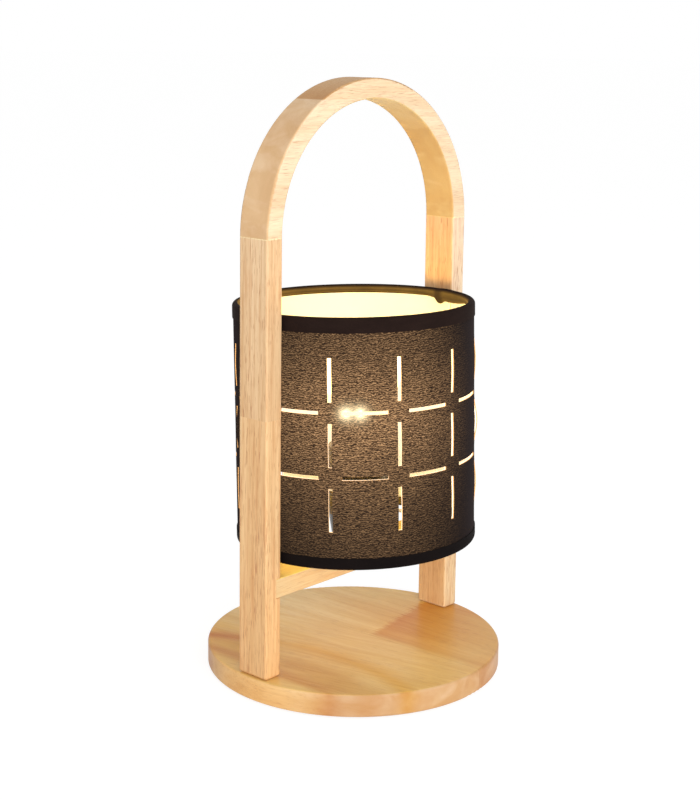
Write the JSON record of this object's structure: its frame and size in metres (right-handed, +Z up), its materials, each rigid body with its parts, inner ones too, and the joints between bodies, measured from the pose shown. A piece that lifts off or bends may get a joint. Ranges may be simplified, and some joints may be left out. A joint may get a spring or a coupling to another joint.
{
  "type": "bedside lamp",
  "caption": "Bedside lamp with a round wooden base, a wooden arch standing on posts and a dark slit drum shade over a lit bulb.",
  "frame": {"origin": "centre of the plane that the foot pads stand on", "axes": "+Z up along the lamp's axis, X along the arch from post to post, Y square to the arch"},
  "size_m": [0.2, 0.2, 0.3985],
  "materials": {
    "wood": "satin lacquer on pale close-grained hardwood",
    "dowel_wood": "plain turned dowel",
    "pad_rubber": "matt",
    "zinc_steel": "bright zinc plate",
    "black_plastic": "fine satin moulding",
    "insert_ceramic": "unglazed",
    "contact_brass": "pressed strip",
    "painted_wire": "white powder coat",
    "dark_fabric": "dark brown crinkled textile",
    "white_lining": "white laminated lining",
    "black_tape": "satin trim tape",
    "opal_globe": "opal diffuser, lit",
    "white_plastic": "smooth moulding",
    "nickel_cap": "nickel plate",
    "black_glass": "fused insulator",
    "solder": "solder",
    "board_aluminium": "white printed board"
  },
  "bodies": {
    "frame": {"base_disc": "wood", "foot_pads": "pad_rubber", "base_screws": "zinc_steel", "post_left": "wood", "post_right": "wood", "arch": "wood", "arch_dowels": "dowel_wood", "crossbar": "wood", "nipple": "zinc_steel", "nipple_nut": "zinc_steel", "nipple_washer": "zinc_steel", "holder_cap": "black_plastic", "holder_insert": "insert_ceramic", "terminal_screws": "contact_brass", "centre_contact": "contact_brass", "screw_shell": "contact_brass", "holder_skirt": "black_plastic"},
    "clamp_ring": {"shade_ring": "black_plastic"},
    "shade": {"spider_hub": "painted_wire", "spider_arms": "painted_wire", "bottom_wire": "painted_wire", "top_wire": "painted_wire", "shade_fabric": "dark_fabric", "shade_lining": "white_lining", "bottom_tape": "black_tape", "top_tape": "black_tape"},
    "bulb": {"bulb_globe": "opal_globe", "bulb_cone": "white_plastic", "bulb_cap": "nickel_cap", "bulb_insulator": "black_glass", "bulb_contact": "solder", "lamp_board": "board_aluminium"}
  },
  "joints": [
    {"name": "shade_turn", "type": "hinge", "parent": "frame", "child": "shade", "pos_m": [0, 0, 0.1246], "axis": [0, 0, 1], "continuous": true},
    {"name": "ring_up", "type": "slide", "parent": "frame", "child": "clamp_ring", "axis": [0, 0, 1], "range_m": [0, 0.014]},
    {"name": "bulb_out", "type": "slide", "parent": "frame", "child": "bulb", "axis": [0, 0, 1], "range_m": [0, 0.12]}
  ]
}
